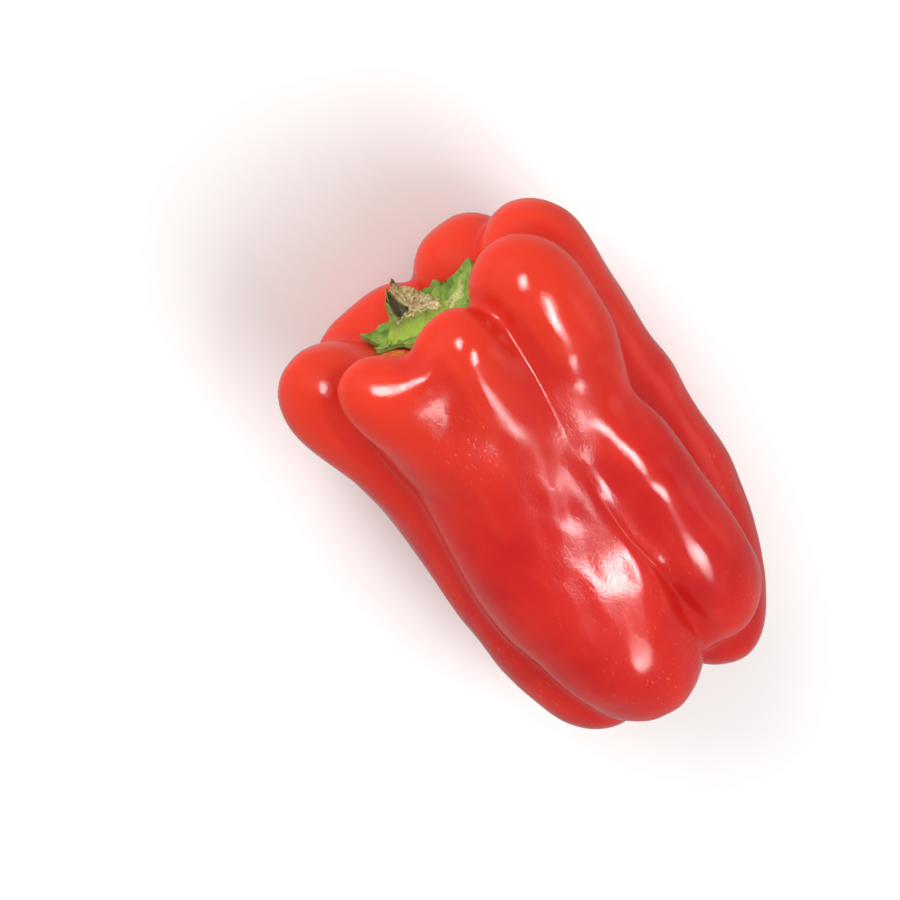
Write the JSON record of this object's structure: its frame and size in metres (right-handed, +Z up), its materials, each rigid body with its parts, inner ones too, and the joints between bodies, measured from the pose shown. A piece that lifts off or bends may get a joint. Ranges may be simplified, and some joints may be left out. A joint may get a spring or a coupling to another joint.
{
  "type": "bell pepper",
  "caption": "Long lobed red bell pepper lying on its side, with raised shoulders round a crinkled green calyx and a short torn stem.",
  "frame": {"origin": "centre of the bounding box's bottom face, on the surface that the pepper lies on", "axes": "+X from the stem end toward the blossom end along the longest extent, +Z up, +Y to the side of the narrow side lobe"},
  "size_m": [0.1404, 0.0902, 0.0775],
  "materials": {
    "red_skin": "smooth waxy red skin with a strong soft gloss, slightly more orange toward the shoulders",
    "green_calyx": "crinkled yellow-green calyx and stem with a low sheen, pale brown and fibrous where the stem is torn"
  },
  "bodies": {
    "root": {"fruit": "red_skin", "calyx": "green_calyx"}
  },
  "joints": []
}
